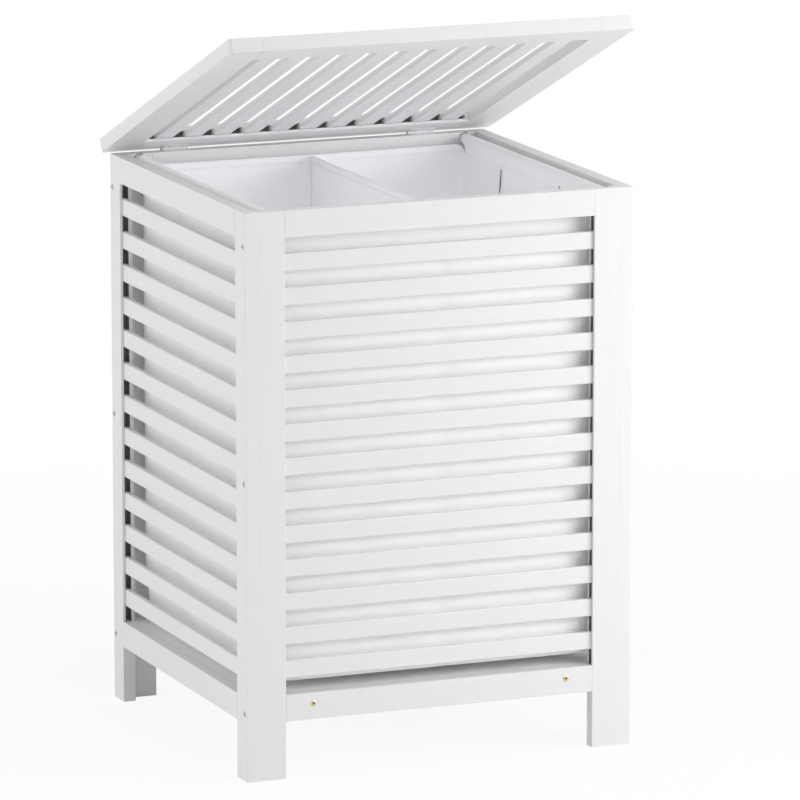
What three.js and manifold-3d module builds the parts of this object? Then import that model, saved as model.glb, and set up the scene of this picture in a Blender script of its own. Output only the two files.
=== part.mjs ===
import * as THREE from 'three';
import { mergeVertices } from 'three/addons/utils/BufferGeometryUtils.js';
import Module from 'manifold-3d';

// Laundry hamper with a slatted box, a hinged slatted lid and a two-bin fabric liner.
// Millimetres, +Z up. The origin is on the floor, midway between the four legs.
// The front is at -Y, and the lid stands part open.

const wasm = await Module();
wasm.setup();

// Box
const bodyWidth = 461;
const bodyDepth = 430;
const bodyHeight = 637;
const board = 15;
const stileWidth = 31;
const railHeight = 30;
const legHeight = 65;

// Box slats
const slatCount = 13;
const slatHeight = 20;
const slatThickness = 6.5;
const slatSetback = 3.5;
const tongue = 8;
const tenonShoulder = 5;

// Lid
const lidSideOverhang = 9.5;
const lidFrontOverhang = 18;
const lidThickness = 16;
const lidMember = 40;
const lidSlatCount = 11;
const lidSlatWidth = 21.4;
const lidSlatSetback = 3.5;
const lidRearReach = 0.8;
const lidCornerRadius = 4;
const lidOpenAngle = 22.55;

// Hinges
const hingeInset = 78.5;
const hingeLength = 30;
const leafThickness = 0.7;
const leafDepth = 11.5;
const leafGap = 0.2;
const leafHousing = 0.6;
const barrelRadius = 2.6;
const barrelStandOff = 0.6;
const pinRadius = 1.3;
const pinHeadRadius = 1.9;
const pinHeadThickness = 0.6;
const screwHoleRadius = 1.5;
const screwHoleInset = 6.5;

// Base
const baseBoardThickness = 4;
const baseBoardDrop = 0.5;
const battenWidth = 30;
const battenInset = 78.5;

// Liner and its rods
const rodRadius = 4.5;
const rodInset = 14.5;
const rodDrop = 6.5;
const rodSeatDepth = 7;
const linerSideGap = 16.5;
const linerEndGap = 5;
const linerHemDrop = 13.5;
const linerBottomLift = 10.5;
const linerCloth = 2;
const sleeveWall = 1;
const sleeveEndGap = 7;

// Fits and edges
const fit = 0.3;
const seam = 0.2;
const weld = 0.5;
const overrun = 1;
const easedEdge = 0.6;
const slatEdge = 1.5;
const edgeSteps = 3;
const roundSteps = 20;

const paintedWood = { color: 0xf2f1ee, roughness: 0.45, metalness: 0 };
const paintedMetal = { color: 0xeeeeec, roughness: 0.35, metalness: 0.2 };
const steel = { color: 0xb9b6ae, roughness: 0.3, metalness: 1 };
const baseBoardPaint = { color: 0xe4e3e0, roughness: 0.6, metalness: 0 };
const cotton = { color: 0xe9e8e5, roughness: 0.95, metalness: 0 };

const hamper = new THREE.Group();

// Places that several pieces share
const railTop = legHeight + railHeight;
const slatZone = bodyHeight - railHeight - railTop;
const slatGap = (slatZone - slatCount * slatHeight) / (slatCount + 1);
const grooveDepth = tongue + fit;
const baseTop = railTop - baseBoardDrop;
const insideWidth = bodyWidth - 2 * board;
const insideDepth = bodyDepth - 2 * board;
const panelWidth = insideWidth - 2 * seam;
const rodHeight = bodyHeight - rodDrop;
const rodSpacing = insideWidth - 2 * rodInset;
const hingeSpacing = bodyWidth - 2 * hingeInset;
const battenSpacing = bodyWidth - 2 * battenInset;
const linerBottom = baseTop + linerBottomLift;
const linerHem = bodyHeight - linerHemDrop;
const pivotY = bodyDepth / 2 + barrelStandOff + barrelRadius;
const pivotZ = bodyHeight - leafHousing + seam + leafThickness + leafGap / 2;
const halfHinge = hingeLength / 2;
const leafNear = -(barrelRadius + fit);
const leafFar = leafNear - leafDepth;

// Solids

function solid(geometry) {
  const bare = geometry.index ? geometry.toNonIndexed() : geometry;
  bare.deleteAttribute('normal');
  bare.deleteAttribute('uv');
  const merged = mergeVertices(bare);
  const mesh = new wasm.Mesh({
    numProp: 3,
    vertProperties: Float32Array.from(merged.attributes.position.array),
    triVerts: Uint32Array.from(merged.index.array),
  });
  return new wasm.Manifold(mesh);
}

function roundedRectangle(left, bottom, right, top, radius) {
  const shape = new THREE.Shape();
  shape.absarc(left + radius, bottom + radius, radius, Math.PI, 1.5 * Math.PI);
  shape.absarc(right - radius, bottom + radius, radius, 1.5 * Math.PI, 2 * Math.PI);
  shape.absarc(right - radius, top - radius, radius, 0, 0.5 * Math.PI);
  shape.absarc(left + radius, top - radius, radius, 0.5 * Math.PI, Math.PI);
  return shape;
}

// The two axes across an axis, then the axis itself
function acrossAndAlong(axis) {
  const along = 'xyz'.indexOf(axis);
  return [(along + 1) % 3, (along + 2) % 3, along];
}

function turnOnto(geometry, axis) {
  const units = [0, 1, 2].map((i) => new THREE.Vector3().setComponent(i, 1));
  const [first, second, along] = acrossAndAlong(axis);
  return geometry.applyMatrix4(
    new THREE.Matrix4().makeBasis(units[first], units[second], units[along]),
  );
}

// A bar between two corners, with its four long edges eased
function bar(axis, low, high, radius) {
  const [first, second, along] = acrossAndAlong(axis);
  const section = roundedRectangle(low[first], low[second], high[first], high[second], radius);
  const geometry = new THREE.ExtrudeGeometry(section, {
    depth: high[along] - low[along],
    bevelEnabled: false,
    curveSegments: edgeSteps,
  });
  geometry.translate(0, 0, low[along]);
  return solid(turnOnto(geometry, axis));
}

function block(low, high) {
  const size = high.map((value, i) => value - low[i]);
  const geometry = new THREE.BoxGeometry(...size);
  geometry.translate(...low.map((value, i) => value + size[i] / 2));
  return solid(geometry);
}

function round(axis, radius, centre, start, end) {
  const geometry = new THREE.CylinderGeometry(radius, radius, end - start, roundSteps);
  geometry.rotateX(Math.PI / 2);
  turnOnto(geometry, axis);
  const [first, second, along] = acrossAndAlong(axis);
  const place = [0, 0, 0];
  place[first] = centre[0];
  place[second] = centre[1];
  place[along] = (start + end) / 2;
  geometry.translate(...place);
  return solid(geometry);
}

function addPiece(group, name, piece, finish) {
  const { vertProperties, triVerts } = piece.getMesh();
  const geometry = new THREE.BufferGeometry();
  geometry.setAttribute('position', new THREE.BufferAttribute(Float32Array.from(vertProperties), 3));
  geometry.setIndex(new THREE.BufferAttribute(Uint32Array.from(triVerts), 1));
  geometry.computeVertexNormals();
  const mesh = new THREE.Mesh(geometry, new THREE.MeshStandardMaterial(finish));
  mesh.name = name;
  group.add(mesh);
}

// Slatted panel, in its own frame: X along it, Y inwards from its outer face

const slatFront = slatSetback;
const slatBack = slatSetback + slatThickness;

function slatLow(index) {
  return railTop + slatGap + index * (slatHeight + slatGap);
}

function stile(width, end) {
  const outer = (end * width) / 2;
  const inner = outer - end * stileWidth;
  const grooveEnd = inner + end * grooveDepth;
  const open = inner - end * overrun;
  const whole = bar(
    'z',
    [Math.min(outer, inner), 0, 0],
    [Math.max(outer, inner), board, bodyHeight],
    easedEdge,
  );
  const groove = block(
    [Math.min(grooveEnd, open), slatFront - fit, legHeight + tenonShoulder - fit],
    [Math.max(grooveEnd, open), slatBack + fit, bodyHeight - tenonShoulder + fit],
  );
  return whole.subtract(groove);
}

function rail(width, low) {
  const half = width / 2 - stileWidth - seam;
  const reach = half + seam + tongue;
  const body = bar('x', [-half, 0, low], [half, board, low + railHeight], easedEdge);
  const tenons = block(
    [-reach, slatFront, low + tenonShoulder],
    [reach, slatBack, low + railHeight - tenonShoulder],
  );
  return body.add(tenons);
}

function slat(width, index, fusedEnd) {
  const reach = width / 2 - stileWidth + tongue;
  const left = fusedEnd < 0 ? -reach - fit - weld : -reach;
  const right = fusedEnd > 0 ? reach + fit + weld : reach;
  const low = slatLow(index);
  return bar('x', [left, slatFront, low], [right, slatBack, low + slatHeight], slatEdge);
}

// A seat in the inner face of a stile, open at the top, for the end of a liner rod
function rodSeat(end) {
  const centre = (end * rodSpacing) / 2;
  const half = rodRadius + fit;
  const deep = board - rodSeatDepth;
  const inside = board + overrun;
  const slot = block(
    [centre - half, deep, rodHeight],
    [centre + half, inside, bodyHeight + overrun],
  );
  return slot.add(round('y', half, [rodHeight, centre], deep, inside));
}

// A shallow housing in the top of the back rail for a fixed hinge leaf
function leafHousingInRail(end) {
  const centre = (end * hingeSpacing) / 2;
  const deep = bodyDepth / 2 - (pivotY + leafFar) + fit;
  return block(
    [centre - halfHinge - fit, -overrun, bodyHeight - leafHousing],
    [centre + halfHinge + fit, deep, bodyHeight + overrun],
  );
}

function addPanel({ side, ends, width, place, turn, fusedEnd, holdsRods, holdsHinges }) {
  const panel = new THREE.Group();
  panel.position.set(...place);
  panel.rotation.z = turn;
  hamper.add(panel);

  ends.forEach((name, i) => {
    const end = i === 0 ? -1 : 1;
    let piece = stile(width, end);
    if (holdsRods) piece = piece.subtract(rodSeat(end));
    if (end !== fusedEnd) {
      addPiece(panel, `${side}_${name}_stile`, piece, paintedWood);
      return;
    }
    for (let index = 0; index < slatCount; index += 1) piece = piece.add(slat(width, index, end));
    addPiece(panel, `${side}_${name}_stile_with_slats`, piece, paintedWood);
  });

  let topRail = rail(width, bodyHeight - railHeight);
  if (holdsHinges) {
    for (const end of [-1, 1]) topRail = topRail.subtract(leafHousingInRail(end));
  }
  addPiece(panel, `${side}_top_rail`, topRail, paintedWood);
  addPiece(panel, `${side}_bottom_rail`, rail(width, legHeight), paintedWood);

  if (fusedEnd) return;
  for (let index = 0; index < slatCount; index += 1) {
    const number = String(slatCount - index).padStart(2, '0');
    addPiece(panel, `${side}_slat_${number}`, slat(width, index, fusedEnd), paintedWood);
  }
}

addPanel({
  side: 'front',
  ends: ['left', 'right'],
  width: panelWidth,
  place: [0, -bodyDepth / 2, 0],
  turn: 0,
  fusedEnd: 0,
  holdsRods: true,
  holdsHinges: false,
});
addPanel({
  side: 'back',
  ends: ['right', 'left'],
  width: panelWidth,
  place: [0, bodyDepth / 2, 0],
  turn: Math.PI,
  fusedEnd: -1,
  holdsRods: true,
  holdsHinges: true,
});
addPanel({
  side: 'left',
  ends: ['rear', 'front'],
  width: bodyDepth,
  place: [-bodyWidth / 2, 0, 0],
  turn: -Math.PI / 2,
  fusedEnd: 0,
  holdsRods: false,
  holdsHinges: false,
});
addPanel({
  side: 'right',
  ends: ['front', 'rear'],
  width: bodyDepth,
  place: [bodyWidth / 2, 0, 0],
  turn: Math.PI / 2,
  fusedEnd: 1,
  holdsRods: false,
  holdsHinges: false,
});

// Base: a thin board on two battens that run from the front rail to the back rail

const battenTop = baseTop - baseBoardThickness - seam;
const battenReach = insideDepth / 2 - seam;
for (const [side, end] of [['left', -1], ['right', 1]]) {
  const centre = (end * battenSpacing) / 2;
  const batten = bar(
    'y',
    [centre - battenWidth / 2, -battenReach, battenTop - board],
    [centre + battenWidth / 2, battenReach, battenTop],
    easedEdge,
  );
  addPiece(hamper, `base_batten_${side}`, batten, paintedWood);
}
const baseReach = [insideWidth / 2 - fit, insideDepth / 2 - fit];
const baseBoard = block(
  [-baseReach[0], -baseReach[1], baseTop - baseBoardThickness],
  [baseReach[0], baseReach[1], baseTop],
);
addPiece(hamper, 'base_board', baseBoard, baseBoardPaint);

// Liner: an open bag with a divider, hung by a sleeve along each side

const rodReach = insideDepth / 2 + rodSeatDepth - fit;
for (const [side, end] of [['left', -1], ['right', 1]]) {
  const rod = round('y', rodRadius, [rodHeight, (end * rodSpacing) / 2], -rodReach, rodReach);
  addPiece(hamper, `liner_rod_${side}`, rod, paintedWood);
}

function liner() {
  const halfWidth = insideWidth / 2 - linerSideGap;
  const halfDepth = insideDepth / 2 - linerEndGap;
  const sleeveReach = insideDepth / 2 - sleeveEndGap;
  let bag = block([-halfWidth, -halfDepth, linerBottom], [halfWidth, halfDepth, linerHem]);
  for (const end of [-1, 1]) {
    const sleeveCentre = [rodHeight, (end * rodSpacing) / 2];
    const outside = end * halfWidth;
    const inside = end * (halfWidth - linerCloth);
    const band = block(
      [Math.min(outside, inside), -sleeveReach, linerHem - overrun],
      [Math.max(outside, inside), sleeveReach, rodHeight],
    );
    const sleeve = round('y', rodRadius + fit + sleeveWall, sleeveCentre, -sleeveReach, sleeveReach);
    bag = bag.add(band).add(sleeve);
  }
  for (const end of [-1, 1]) {
    const divider = (end * linerCloth) / 2;
    const wall = end * (halfWidth - linerCloth);
    const bin = block(
      [Math.min(divider, wall), linerCloth - halfDepth, linerBottom + linerCloth],
      [Math.max(divider, wall), halfDepth - linerCloth, linerHem + overrun],
    );
    const bore = round(
      'y',
      rodRadius + fit,
      [rodHeight, (end * rodSpacing) / 2],
      -sleeveReach - overrun,
      sleeveReach + overrun,
    );
    bag = bag.subtract(bin).subtract(bore);
  }
  return bag;
}
addPiece(hamper, 'liner', liner(), cotton);

// Hinges: the fixed leaves lie on the back rail, and the moving ones under the lid

const knuckleLength = hingeLength / 3;

// A leaf about its pin: level is -1 for the fixed leaf and 1 for the moving one
function leaf(centre, level, knuckles) {
  const flat = (level * leafGap) / 2;
  const face = flat + level * leafThickness;
  const low = Math.min(flat, face);
  const high = Math.max(flat, face);
  let plate = block([centre - halfHinge, leafFar, low], [centre + halfHinge, leafNear, high]);
  for (const [start, end] of knuckles) {
    const barrel = round('x', barrelRadius, [0, 0], centre + start, centre + end);
    const web = block([centre + start, leafNear - overrun, low], [centre + end, 0, high]);
    plate = plate.add(barrel).add(web);
  }
  plate = plate.subtract(
    round('x', pinRadius + fit, [0, 0], centre - halfHinge - overrun, centre + halfHinge + overrun),
  );
  for (const side of [-1, 1]) {
    const hole = round(
      'z',
      screwHoleRadius,
      [centre + side * (halfHinge - screwHoleInset), (leafNear + leafFar) / 2],
      low - overrun,
      high + overrun,
    );
    plate = plate.subtract(hole);
  }
  return plate;
}

const halfKnuckle = knuckleLength / 2;
const fixedKnuckles = [
  [-halfHinge, -halfKnuckle - fit],
  [halfKnuckle + fit, halfHinge],
];
const movingKnuckles = [[-halfKnuckle, halfKnuckle]];

const fixedHinges = new THREE.Group();
fixedHinges.position.set(0, pivotY, pivotZ);
hamper.add(fixedHinges);

const lid = new THREE.Group();
lid.position.set(0, pivotY, pivotZ);
lid.rotation.x = -THREE.MathUtils.degToRad(lidOpenAngle);
hamper.add(lid);

for (const [side, end] of [['left', -1], ['right', 1]]) {
  const centre = (end * hingeSpacing) / 2;
  const headStart = halfHinge + fit;
  const headEnd = headStart + pinHeadThickness;
  const pin = round('x', pinRadius, [0, 0], centre - headEnd, centre + headEnd)
    .add(round('x', pinHeadRadius, [0, 0], centre - headEnd, centre - headStart))
    .add(round('x', pinHeadRadius, [0, 0], centre + headStart, centre + headEnd));
  addPiece(fixedHinges, `hinge_${side}_body_leaf`, leaf(centre, -1, fixedKnuckles), paintedMetal);
  addPiece(fixedHinges, `hinge_${side}_pin`, pin, steel);
  addPiece(lid, `hinge_${side}_lid_leaf`, leaf(centre, 1, movingKnuckles), paintedMetal);
}

// Lid, about the hinge axis as it lies when closed, with its slats front to back

const lidRear = lidRearReach;
const lidFront = -pivotY - bodyDepth / 2 - lidFrontOverhang;
const lidWidth = bodyWidth + 2 * lidSideOverhang;
const lidUnder = leafGap / 2 + leafThickness + fit - leafHousing;
const lidTop = lidUnder + lidThickness;
const lidInside = lidWidth / 2 - lidMember;
const lidSlatUnder = lidUnder + lidSlatSetback;
const lidSlatTop = lidSlatUnder + slatThickness;
const lidSlatGap = (2 * lidInside - lidSlatCount * lidSlatWidth) / (lidSlatCount + 1);

// Rounded corners of the lid in plan
function lidOutline() {
  const half = lidWidth / 2;
  const outline = roundedRectangle(-half, lidFront, half, lidRear, lidCornerRadius);
  const geometry = new THREE.ExtrudeGeometry(outline, {
    depth: lidThickness + 2 * overrun,
    bevelEnabled: false,
    curveSegments: edgeSteps,
  });
  geometry.translate(0, 0, lidUnder - overrun);
  return solid(geometry);
}

function lidStile(end) {
  const outer = (end * lidWidth) / 2;
  const inner = end * (lidInside + seam);
  const low = [Math.min(outer, inner), lidFront, lidUnder];
  const high = [Math.max(outer, inner), lidRear, lidTop];
  const easedEnds = bar(
    'x',
    [low[0] - overrun, low[1], low[2]],
    [high[0] + overrun, high[1], high[2]],
    easedEdge,
  );
  let piece = bar('y', low, high, easedEdge).intersect(easedEnds).intersect(lidOutline());
  const open = inner - end * overrun;
  const mortiseEnd = inner + end * grooveDepth;
  for (const front of [lidFront, lidRear - lidMember]) {
    const mortise = block(
      [Math.min(open, mortiseEnd), front + tenonShoulder - fit, lidSlatUnder - fit],
      [Math.max(open, mortiseEnd), front + lidMember - tenonShoulder + fit, lidSlatTop + fit],
    );
    piece = piece.subtract(mortise);
  }
  return piece;
}

function lidRail(low, grooveSide) {
  const half = lidInside;
  const high = low + lidMember;
  const reach = half + tongue;
  const inner = grooveSide > 0 ? high : low;
  const grooveEnd = inner - grooveSide * grooveDepth;
  const open = inner + grooveSide * overrun;
  const body = bar('x', [-half, low, lidUnder], [half, high, lidTop], easedEdge);
  const tenons = block(
    [-reach, low + tenonShoulder, lidSlatUnder],
    [reach, high - tenonShoulder, lidSlatTop],
  );
  const groove = block(
    [-half + tenonShoulder, Math.min(grooveEnd, open), lidSlatUnder - fit],
    [half - tenonShoulder, Math.max(grooveEnd, open), lidSlatTop + fit],
  );
  return body.add(tenons).subtract(groove);
}

function lidSlat(index) {
  const left = -lidInside + lidSlatGap + index * (lidSlatWidth + lidSlatGap);
  const front = lidFront + lidMember - tongue;
  const rear = lidRear - lidMember + grooveDepth + weld;
  return bar(
    'y',
    [left, front, lidSlatUnder],
    [left + lidSlatWidth, rear, lidSlatTop],
    slatEdge,
  );
}

// Room in the rear rail for a hinge's barrel and for its moving leaf
function hingeNotch(centre) {
  const barrelHalf = halfHinge + pinHeadThickness + 2 * fit;
  const leafHalf = halfHinge + fit;
  const clear = barrelRadius + fit;
  const barrelRoom = block(
    [centre - barrelHalf, -clear, lidUnder - overrun],
    [centre + barrelHalf, lidRear + overrun, clear],
  );
  const leafRoom = block(
    [centre - leafHalf, leafFar - fit, lidUnder - overrun],
    [centre + leafHalf, 0, lidUnder + leafHousing],
  );
  return barrelRoom.add(leafRoom);
}

let rearRail = lidRail(lidRear - lidMember, -1);
for (const end of [-1, 1]) rearRail = rearRail.subtract(hingeNotch((end * hingeSpacing) / 2));
for (let index = 0; index < lidSlatCount; index += 1) rearRail = rearRail.add(lidSlat(index));

addPiece(lid, 'lid_left_stile', lidStile(-1), paintedWood);
addPiece(lid, 'lid_right_stile', lidStile(1), paintedWood);
addPiece(lid, 'lid_front_rail', lidRail(lidFront, 1), paintedWood);
addPiece(lid, 'lid_rear_rail_with_slats', rearRail, paintedWood);

export default hamper;
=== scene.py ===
"""Looks of a white laundry hamper: a slatted wooden box and lid, and a cloth liner with two bins.

Metres, +Z up, the front faces -Y and the lid stands part open. The wooden pieces and the hinges
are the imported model's own, painted here; the screws and the sewn liner are made here.
"""
import math

import bpy
import numpy as np
from mathutils import Matrix, Vector


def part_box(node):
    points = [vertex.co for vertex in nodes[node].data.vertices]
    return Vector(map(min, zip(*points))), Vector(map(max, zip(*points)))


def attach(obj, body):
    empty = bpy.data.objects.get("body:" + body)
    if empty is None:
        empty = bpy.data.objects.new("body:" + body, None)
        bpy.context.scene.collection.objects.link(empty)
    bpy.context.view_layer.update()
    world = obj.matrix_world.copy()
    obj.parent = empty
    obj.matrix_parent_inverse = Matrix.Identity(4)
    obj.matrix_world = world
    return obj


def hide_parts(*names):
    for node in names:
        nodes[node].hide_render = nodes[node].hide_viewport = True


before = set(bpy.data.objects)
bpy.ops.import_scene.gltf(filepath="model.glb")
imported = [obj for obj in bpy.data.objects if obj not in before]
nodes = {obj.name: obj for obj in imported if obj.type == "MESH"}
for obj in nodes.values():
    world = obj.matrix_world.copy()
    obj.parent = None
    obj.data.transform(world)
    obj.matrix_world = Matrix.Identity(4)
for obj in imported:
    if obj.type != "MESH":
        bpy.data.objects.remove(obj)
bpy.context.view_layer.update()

scene = bpy.context.scene


# Camera: a long lens that looks from the hamper's front left, a little above it, so that the
# uprights stay nearly parallel and the inside of both bins shows over the front rail.

view_turn, view_rise = math.radians(-22.2), math.radians(11.496)
view_distance, view_lens, film_width = 7.9525, 313.1, 36
aim_across, aim_up = 0.0360, 0.3651

view_back = Vector((
    math.sin(view_turn) * math.cos(view_rise),
    -math.cos(view_turn) * math.cos(view_rise),
    math.sin(view_rise),
))
view_right = Vector((math.cos(view_turn), math.sin(view_turn), 0))
view_up = view_back.cross(view_right)

camera = bpy.data.objects.new("camera", bpy.data.cameras.new("camera"))
camera.data.sensor_width = film_width
camera.data.lens = view_lens
camera.matrix_world = Matrix.Translation(
    aim_across * view_right + aim_up * view_up + view_distance * view_back
) @ Matrix((view_right, view_up, view_back)).transposed().to_4x4()
scene.collection.objects.link(camera)
scene.camera = camera


# Studio: a white sweep and an even white surround. Two soft boxes at the front right are the key, a
# low one close by makes the front fall off to the left, one fills the left side and one is overhead.
# A small lamp in each bin, out of sight, fills the liner and the lid's underside.

def add_node(tree, kind, inputs=None, **settings):
    """Adds a node of that kind, with its settings, and gives each named input a value or a link."""
    node = tree.nodes.new(kind)
    for setting, value in settings.items():
        setattr(node, setting, value)
    for socket, value in (inputs or {}).items():
        if isinstance(value, bpy.types.NodeSocket):
            tree.links.new(value, node.inputs[socket])
        else:
            node.inputs[socket].default_value = value
    return node


def empty_tree(owner):
    """The node tree of a material or a world, with nothing in it."""
    owner.use_nodes = True
    owner.node_tree.nodes.clear()
    return owner.node_tree


def seen_directly(tree, share):
    """That share for rays that the camera, a reflection or glass sees by, and 0 for the others."""
    path = add_node(tree, "ShaderNodeLightPath").outputs
    seen = path["Is Camera Ray"]
    for ray in ("Is Glossy Ray", "Is Transmission Ray"):
        seen = add_node(tree, "ShaderNodeMath", {0: seen, 1: path[ray]}, operation="MAXIMUM").outputs[0]
    return add_node(tree, "ShaderNodeMath", {0: seen, 1: share}, operation="MULTIPLY").outputs[0]


surround_light = 0.456
surround = bpy.data.worlds.new("white surround")
scene.world = surround
tree = empty_tree(surround)
lit = add_node(tree, "ShaderNodeBackground", {"Color": (1, 1, 1, 1), "Strength": surround_light})
plain = add_node(tree, "ShaderNodeBackground", {"Color": (1, 1, 1, 1), "Strength": 1.0})
mixed = add_node(tree, "ShaderNodeMixShader", {0: seen_directly(tree, 1.0), 1: lit.outputs[0],
                                               2: plain.outputs[0]})
add_node(tree, "ShaderNodeOutputWorld", {"Surface": mixed.outputs[0]})

# Seen directly, the paper glows white, but a little less near the hamper, so that its shadow shows.
sweep_reach, paper_tone = 14.0, 0.92
near_glow, grey_reach, white_reach = 0.90, 0.45, 1.6
sweep_mesh = bpy.data.meshes.new("sweep")
sweep_mesh.from_pydata(
    [(-sweep_reach, -sweep_reach, 0), (sweep_reach, -sweep_reach, 0),
     (sweep_reach, sweep_reach, 0), (-sweep_reach, sweep_reach, 0)], [], [(0, 1, 2, 3)])
sweep = bpy.data.objects.new("sweep", sweep_mesh)
scene.collection.objects.link(sweep)
sweep_paper = bpy.data.materials.new("white sweep paper")
tree = empty_tree(sweep_paper)
place = add_node(tree, "ShaderNodeTexCoord").outputs["Object"]
away = add_node(tree, "ShaderNodeVectorMath", {0: place}, operation="LENGTH").outputs["Value"]
washed = add_node(tree, "ShaderNodeMapRange", {
    0: away, 1: grey_reach, 2: white_reach, 3: near_glow, 4: 1.0})
paper = add_node(tree, "ShaderNodeBsdfDiffuse", {"Color": (paper_tone, paper_tone, paper_tone, 1)})
glow = add_node(tree, "ShaderNodeEmission", {"Color": (1, 1, 1, 1), "Strength": 1.0})
mixed = add_node(tree, "ShaderNodeMixShader", {0: seen_directly(tree, washed.outputs[0]),
                                               1: paper.outputs[0], 2: glow.outputs[0]})
add_node(tree, "ShaderNodeOutputMaterial", {"Surface": mixed.outputs[0]})
sweep_mesh.materials.append(sweep_paper)


def soft_box(name, place, target, size, watts):
    """A square area lamp at a place, turned so that it faces the target."""
    lamp = bpy.data.lights.new(name, "AREA")
    lamp.size = size
    lamp.energy = watts
    holder = bpy.data.objects.new(name, lamp)
    aim = (Vector(target) - Vector(place)).to_track_quat("-Z", "Y")
    holder.matrix_world = Matrix.Translation(place) @ aim.to_matrix().to_4x4()
    holder.visible_camera = False
    scene.collection.objects.link(holder)


# Each lamp's name, its place, the point it faces, its side in metres and its watts.
soft_box("front right soft box", (1.5, -2.0, 1.45), (0, 0.1, 0.55), 0.8, 11.3)
soft_box("wide right soft box", (2.2, -1.6, 1.0), (0, 0, 0.5), 1.0, 22.5)
soft_box("low right soft box", (0.8, -0.95, 0.52), (0.1, -0.2, 0.4), 0.6, 2.3)
soft_box("left soft box", (-2.4, 0.1, 0.9), (0, 0, 0.4), 1.6, 20.6)
soft_box("overhead soft box", (0.3, -0.6, 3.2), (0, 0, 0.5), 2.0, 15.4)
soft_box("fill in the left bin", (-0.095, 0, 0.36), (-0.095, 0, 1), 0.16, 0.142)
soft_box("fill in the right bin", (0.105, 0, 0.36), (0.105, 0, 1), 0.16, 0.142)

scene.view_settings.view_transform = "Standard"
scene.cycles.diffuse_bounces = 8


# Painted frame: stiles, rails and slats of planed pale softwood, glued up and sprayed with a
# satin white paint. The long grain just telegraphs through the film, and the film has a fine
# spray texture. Deep in the slat grooves a dark grey is painted on as shade.

paint_white, paint_shade = "#E3E3E4", "#E1E1E2"
# The dark grey painted into the slat grooves as shade.
groove_painted_shade = "#757371"
grain_across, grain_along = 0.0024, 0.090
spray_grain = 0.0013
grain_height, spray_height = 0.00008, 0.00004
stile_width = 0.031


def linear(colour):
    """An sRGB hex colour as linear red, green, blue and alpha."""
    parts = np.array([int(colour[i:i + 2], 16) for i in (1, 3, 5)]) / 255
    return (*np.where(parts <= 0.04045, parts / 12.92, ((parts + 0.055) / 1.055) ** 2.4), 1.0)


def grain_scale(axis):
    """Cells per metre on each axis, long along the grain and narrow across it."""
    return tuple(1 / grain_along if i == axis else 1 / grain_across for i in range(3))


def within(tree, place, low, high):
    """1 where the distances from the three middle planes all lie between low and high, else 0."""
    middle = [(a + b) / 2 for a, b in zip(low, high)]
    half = [(b - a) / 2 for a, b in zip(low, high)]
    steps = ("ABSOLUTE", None), ("SUBTRACT", middle), ("ABSOLUTE", None), ("DIVIDE", half)
    for operation, other in steps:
        inputs = {0: place} if other is None else {0: place, 1: other}
        place = add_node(tree, "ShaderNodeVectorMath", inputs, operation=operation).outputs[0]
    parts = add_node(tree, "ShaderNodeSeparateXYZ", {0: place}).outputs
    most = add_node(tree, "ShaderNodeMath", {0: parts[0], 1: parts[1]}, operation="MAXIMUM").outputs[0]
    most = add_node(tree, "ShaderNodeMath", {0: most, 1: parts[2]}, operation="MAXIMUM").outputs[0]
    return add_node(tree, "ShaderNodeMath", {0: most, 1: 1.0}, operation="LESS_THAN").outputs[0]


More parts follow.
